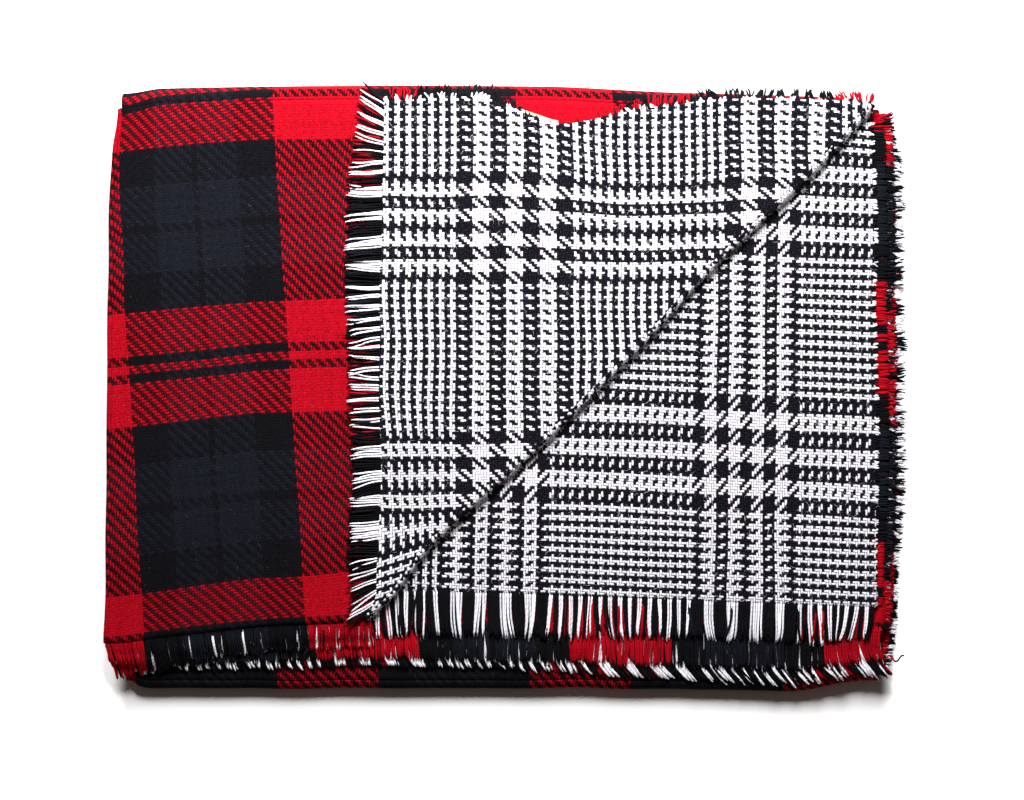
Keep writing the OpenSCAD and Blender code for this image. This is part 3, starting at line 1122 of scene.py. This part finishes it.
# --------------------------------------------------------------------- nap
def hairs(rng, base, long=(2.0, 5.0), rise=0.45):
    """Short curved fibres that start at base and lie in any direction."""
    n = len(base)
    t = np.linspace(0, 1, 4)
    angle = rng.uniform(0, 2 * math.pi, n)
    turn = rng.normal(0, 0.9, n)
    length = rng.uniform(*long, n)
    a = angle[:, None] + turn[:, None] * t
    step = length[:, None] / 3
    dx, dy = np.cos(a) * step, np.sin(a) * step
    x = np.cumsum(dx, 1) - dx[:, :1]
    y = np.cumsum(dy, 1) - dy[:, :1]
    z = rng.uniform(0.1, rise, n)[:, None] * np.sin(math.pi * t * 0.9)
    return base[:, None] + np.stack([x, y, z], -1)


def yarn_seen(rng, k, xy, face):
    """Colour of one of the two yarns that cross at xy, and now and then of pale lint."""
    pick = rng.random(len(xy))[:, None] < 0.5
    pair = [yarn_colour(k, xy[:, 0], xy[:, 1], face, way) for way in (WARP, WEFT)]
    colour = np.where(pick, *pair)
    lint = rng.random(len(xy)) < (0.03 if face == "tartan" else 0.0)
    return np.where(lint[:, None], (0.12, 0.12, 0.135), colour)


def hair_object(rng, name, paths, colour, width=0.085):
    radius = width * rng.uniform(0.6, 1.2, len(paths))[:, None] * np.array([1, 0.95, 0.85, 0.4])
    obj = tube_mesh(name, paths, radius, tint(rng, colour), FRINGE, 3)
    return obj


def scatter(rng, n, x_range, y_range, keep):
    xy = np.column_stack([rng.uniform(*x_range, 3 * n), rng.uniform(*y_range, 3 * n)])
    return xy[keep(xy)][:n]


def add_nap(k):
    """Loose fibres on the seen faces of layer 1, layer 2 and the flap."""
    rng = np.random.default_rng(500 + (9 if k == "flap" else k))
    right_of = lambda xy: xy[:, 0] - crease_x(xy[:, 1])
    if k == 1:
        keep = lambda xy: (right_of(xy) < -5) & (xy[:, 1] > woven_end(1, xy[:, 0]))
        xy = scatter(rng, 7000, (LEFT_X, -90), (-212, TOP_Y), keep)
        z, shape, face = MID_Z[1], bow, "tartan"
    elif k == 2:
        keep = lambda xy: (right_of(xy) > 1) & (xy[:, 1] > woven_end(2, xy[:, 0]))
        xy = scatter(rng, 8000, (-120, RAW_X[2]), (-182, TOP_Y), keep)
        z, shape, face = MID_Z[2], lambda p: p, "check"
    else:
        left_edge = lambda xy: FOOT[0] + 8 * (xy[:, 1] - FOOT[1]) / 425
        keep = lambda xy: (right_of(xy) < -6) & (xy[:, 0] > left_edge(xy))
        xy = scatter(rng, 8000, (-105, 300), (-185, FLAP_TOP_Y), keep)
        z, shape, face = FLAP_Z, lambda p: cut(bow(p)), "check"
    base = shape(np.column_stack([xy, np.full(len(xy), z + CLOTH_T / 2)]))
    colour = yarn_seen(rng, k, base, face)
    paths = hairs(rng, base)
    if k == "flap":
        obj = hair_object(rng, "corner_flap_nap", settle(sag(paths)), colour)
    else:
        obj = hair_object(rng, f"layer_{k}_nap", settle_layer(k, paths), colour)
    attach(obj, "corner" if k == "flap" else "upper_half")
    return obj


def add_crease_nap():
    rng = np.random.default_rng(520)
    n = 2600
    d = rng.uniform(0, CREASE_L, n)
    a = rng.uniform(0.45, 1.0, n) * math.pi
    xy = beside_crease(d, CREASE_R - CREASE_R * np.sin(a) * 1.3)
    base = bow(np.column_stack([xy, CREASE_Z - CREASE_R * np.cos(a)]))
    # painted shade: the hairs in the crease are a quarter darker than their yarns, and raised a
    # little off black
    colour = yarn_colour("flap", base[:, 0], base[:, 1], "check", WEFT) * 0.75 + 0.02
    paths = settle(dip(hairs(rng, base, (2.5, 6.0), 0.8)))
    obj = hair_object(rng, "crease_nap", paths, colour)
    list(crease_ends())
    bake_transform(obj)
    return obj


def add_strays():
    """One dark end at the flap's selvedge and one looped red and black end at the right."""
    t = np.linspace(0, 1, 9)
    end = np.stack([-71 + 6.5 * t, 243 + 11 * t, 33.0 + 1.5 * np.sin(math.pi * t)], -1)
    x = 309 + 15 * t
    loop = np.stack([x, -219 + 2.6 * np.sin(x * 0.55), 19 - 5 * t + np.sin(math.pi * t)], -1)
    made = []
    for name, path, body, colours in (
            ("stray_end_flap", [end], "corner", [(0.012, 0.016, 0.05)]),
            ("stray_end_right", [loop[:6], loop[4:]], "upper_half",
             [COLOURS[RED], COLOURS[BLACK]])):
        rings = min(len(p) for p in path)
        paths = np.array([p[:rings] for p in path])
        radius = np.full(paths.shape[:2], 0.4 if body == "corner" else 0.75)
        obj = tube_mesh(name, paths, radius, np.array(colours), FRINGE, 6)
        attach(obj, body)
        made.append(obj)
    return made


# ------------------------------------------------------------------- label
def add_label():
    lo, hi = LABEL_BOX
    z = (lo[2] + hi[2]) / 2
    top = FLAP_TOP_Y + 4.2
    x, y = np.meshgrid(np.linspace(lo[0], hi[0], 16), np.linspace(top - 36, top, 24),
                       indexing="ij")
    z = z + 0.15 * np.sin((x - lo[0]) * 0.3) + 0.5 * smooth((y - top + 10) / 10)
    grid = np.stack([x, y, z], -1)
    uv = np.stack([x * 2.0, y * 2.0], -1)
    obj = sheet_mesh("care_label_tape", settle(dip(grid)), uv, uv, (LABEL, LABEL), 0.35)
    return place(obj, "corner", "care_label")


def add_stitches():
    rng = np.random.default_rng(401)
    lo, hi = STITCH_BOX
    n = 7
    x = np.linspace(lo[0] + 1.2, hi[0] - 1.2, n)
    t = np.linspace(-1, 1, 7)
    px = x[:, None] + 1.25 * t + rng.normal(0, 0.05, (n, 1))
    py = np.full_like(px, FLAP_TOP_Y - 4) + 0.15 * t * rng.normal(0, 1, (n, 1))
    pz = lo[2] - 0.05 + 0.12 * t**2 + 0 * px
    paths = settle(dip(np.stack([px, py, pz], -1)))
    colour = np.tile((0.8, 0.78, 0.72), (n, 1))
    obj = tube_mesh("label_stitches", paths, np.full((n, 7), 0.18), colour, THREAD, 6)
    return place(obj, "corner", "label_stitching")


# ----------------------------------------------------------------- assembly
def build():
    made = {}
    for k in LAYERS:
        made[f"layer_{k}"] = add_layer(k)
    for k in (1, 3, 5, 7):
        made[f"left_{k}"] = add_left_fold(k)
    for k in (5, 6):
        made[f"bottom_{k}"] = add_bottom_fold(k)
    for k in (1, 2, 3, 4):
        made[f"top_{k}"] = add_top_fold(k)
        made[f"end_{k}"] = end_fringe(k)
    for k in range(2, 9):
        made[f"side_{k}"] = side_fringe(k)
    made.update(flap=add_flap(), crease=add_crease(), flap_end=flap_end_fringe(),
                flap_side=flap_side_fringe(), label=add_label(), stitches=add_stitches())
    for k in (1, 2, "flap"):
        made[f"nap_{k}"] = add_nap(k)
    made["nap_crease"] = add_crease_nap()
    made["stray_flap"], made["stray_3"] = add_strays()
    return made


# -------------------------------------------------------------------- stage
# Metres from the middle at which the floor starts to glow, and over how far it grows
GLOW_SIDE, GLOW_BACK, GLOW_FRONT = (0.306, 0.016), (0.244, 0.012), (0.256, 0.034)


def floor():
    """Pale paper with painted light: it glows a little away from the throw, standing in for the lit
    floor of a light tent.
    """
    mesh = bpy.data.meshes.new("floor")
    mesh.from_pydata([(-4, -4, 0), (4, -4, 0), (4, 4, 0), (-4, 4, 0)], [], [(0, 1, 2, 3)])
    paint = Paint("floor_paper", 0.9, 0.0)
    paint.put(paint.shader.inputs["Base Color"], (0.96, 0.96, 0.96, 1))
    x, y = paint.first_two(paint.new("NewGeometry").outputs[0])
    side = (x.calc("ABSOLUTE") - GLOW_SIDE[0]).calc("MAXIMUM", 0.0) / GLOW_SIDE[1]
    back = (y - GLOW_BACK[0]).calc("MAXIMUM", 0.0) / GLOW_BACK[1]
    front = (y * -1.0 - GLOW_FRONT[0]).calc("MAXIMUM", 0.0) / GLOW_FRONT[1]
    away = (side * side + back * back + front * front).calc("SQRT")
    # painted light: the floor's emission grows away from the throw and is nil beside it, where the
    # contact shadow falls
    paint.put(paint.shader.inputs["Emission Strength"], away.ease(0.0, 1.0) * 0.75)
    paint.put(paint.shader.inputs["Emission Color"], (1, 1, 1, 1))
    mesh.materials.append(paint.mat)
    obj = bpy.data.objects.new("floor", mesh)
    obj.location.z = -0.0002
    bpy.context.scene.collection.objects.link(obj)


def aim(name, data, at, target):
    """Links a light or camera that stands at one point and looks at another, in metres."""
    obj = bpy.data.objects.new(name, data)
    obj.location = at
    direction = Vector(target) - obj.location
    obj.rotation_euler = direction.to_track_quat("-Z", "Y").to_euler()
    bpy.context.scene.collection.objects.link(obj)
    return obj


def studio():
    scene = bpy.context.scene
    world = bpy.data.worlds.new("studio")
    world.use_nodes = True
    tree = world.node_tree
    back = next(n for n in tree.nodes if n.type == "BACKGROUND")
    where = tree.nodes.new("ShaderNodeTexCoord")
    split = tree.nodes.new("ShaderNodeSeparateXYZ")
    tree.links.new(where.outputs["Generated"], split.inputs[0])
    height = Val(tree, split.outputs[2]).calc("ABSOLUTE")
    back.inputs[0].default_value = (1.0, 0.78, 0.66, 1)
    tree.links.new((height.ease(0.35, 0.05) * 0.16 + 0.05).socket, back.inputs[1])
    scene.world = world
    key = bpy.data.lights.new("key", "AREA")
    key.shape, key.size, key.energy = "DISK", 0.60, 38
    aim("key", key, (0.0, 0.85, 0.78), (0, 0.50, 0))
    scene.view_settings.view_transform = "Standard"


def camera():
    data = bpy.data.cameras.new("camera")
    data.lens, data.sensor_width = 85.7, 36.0
    data.clip_start, data.clip_end = 0.05, 50
    target = np.array([0.0065, -0.0095, 0.014])
    tilt = math.radians(3.0)
    at = target + 1.985 * np.array([0, -math.sin(tilt), math.cos(tilt)])
    bpy.context.scene.camera = aim("camera", data, at, target)


floor()
studio()
camera()
build()
